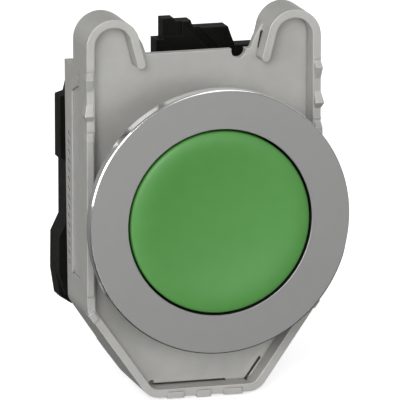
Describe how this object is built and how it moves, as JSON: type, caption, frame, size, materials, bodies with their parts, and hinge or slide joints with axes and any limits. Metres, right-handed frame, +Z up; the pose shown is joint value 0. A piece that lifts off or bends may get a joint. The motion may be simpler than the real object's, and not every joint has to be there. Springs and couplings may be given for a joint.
{
  "type": "industrial push button",
  "caption": "Flush-mounted industrial push button with metal bezel, green cap, die-cast fixing collar and rear contact block.",
  "frame": {"origin": "on the button's axis, in the plane of the seal's back face, which is the front face of the panel", "axes": "+Z up, towards the collar's ears; +Y from the front of the panel to its back, along the button's axis; +X right seen from the front"},
  "size_m": [0.0326, 0.0411, 0.0477],
  "materials": {
    "bezel_metal": "satin chromed face, polished edge",
    "seal_rubber": "matt",
    "black_plastic": "fine moulded texture",
    "cap_plastic": "satin green",
    "plunger_plastic": "satin green",
    "die_cast_metal": "fine grey die-cast finish",
    "spring_steel": "bright wire",
    "zinc_steel": "zinc plated",
    "contact_brass": "satin",
    "tip_silver": "bright silver alloy"
  },
  "bodies": {
    "head": {"bezel_ring": "bezel_metal", "panel_gasket": "seal_rubber", "head_barrel": "black_plastic", "lip_seal": "seal_rubber", "fixing_collar": "die_cast_metal", "contact_carrier": "black_plastic", "block_housing": "black_plastic", "block_side_cover": "black_plastic", "fixed_tips": "tip_silver", "upper_contact_strip": "contact_brass", "lower_contact_strip": "contact_brass"},
    "button": {"push_cap": "cap_plastic", "cap_carrier": "black_plastic", "retaining_clip": "spring_steel", "return_spring": "spring_steel"},
    "plunger": {"contact_plunger": "plunger_plastic", "plunger_spring": "spring_steel"},
    "bridge": {"contact_bridge": "contact_brass", "bridge_tips": "tip_silver", "bridge_spring": "spring_steel"},
    "clamp_screw": {"clamp_screw": "zinc_steel"},
    "pressure_shoe": {"pressure_shoe": "zinc_steel"},
    "lever": {"locking_lever": "black_plastic"},
    "upper_screw": {"upper_terminal_screw": "zinc_steel"},
    "lower_screw": {"lower_terminal_screw": "zinc_steel"},
    "upper_cage": {"upper_clamp_cage": "zinc_steel"},
    "lower_cage": {"lower_clamp_cage": "zinc_steel"}
  },
  "joints": [
    {"name": "button_push", "type": "slide", "parent": "head", "child": "button", "axis": [0, 1, 0], "range_m": [0, 0.004], "stiffness_N_per_m": 600, "springref_m": -0.004, "deforming": ["return_spring"]},
    {"name": "plunger_slide", "type": "slide", "parent": "head", "child": "plunger", "axis": [0, 1, 0], "range_m": [0, 0.004], "stiffness_N_per_m": 150, "springref_m": -0.003, "deforming": ["plunger_spring"]},
    {"name": "bridge_slide", "type": "slide", "parent": "head", "child": "bridge", "axis": [0, 1, 0], "range_m": [0, 0.0026], "deforming": ["bridge_spring"]},
    {"name": "clamp_screw_turn", "type": "hinge", "parent": "head", "child": "clamp_screw", "pos_m": [0.003, 0.015, -0.0155], "axis": [0, 1, 0], "range_deg": [0, 1800]},
    {"name": "shoe_slide", "type": "slide", "parent": "head", "child": "pressure_shoe", "axis": [0, -1, 0], "range_m": [0, 0.0035]},
    {"name": "lever_turn", "type": "hinge", "parent": "head", "child": "lever", "pos_m": [0, 0.0174, 0], "axis": [0, 1, 0], "range_deg": [-25, 0]},
    {"name": "upper_screw_turn", "type": "hinge", "parent": "head", "child": "upper_screw", "pos_m": [0.0034, 0.0329, 0.0097], "axis": [0, -1, 0], "range_deg": [0, 1080]},
    {"name": "upper_cage_slide", "type": "slide", "parent": "head", "child": "upper_cage", "axis": [0, 1, 0], "range_m": [0, 0.0015]},
    {"name": "lower_screw_turn", "type": "hinge", "parent": "head", "child": "lower_screw", "pos_m": [0.0034, 0.0329, -0.0097], "axis": [0, -1, 0], "range_deg": [0, 1080]},
    {"name": "lower_cage_slide", "type": "slide", "parent": "head", "child": "lower_cage", "axis": [0, 1, 0], "range_m": [0, 0.0015]}
  ],
  "couplings": [
    {"joint": "plunger_slide", "follows": "button_push", "ratio": 1},
    {"joint": "bridge_slide", "follows": "button_push", "ratio": 0.65},
    {"joint": "clamp_screw_turn", "follows": "shoe_slide", "rad_per_m": 8976},
    {"joint": "upper_screw_turn", "follows": "upper_cage_slide", "rad_per_m": 12566},
    {"joint": "lower_screw_turn", "follows": "lower_cage_slide", "rad_per_m": 12566}
  ]
}
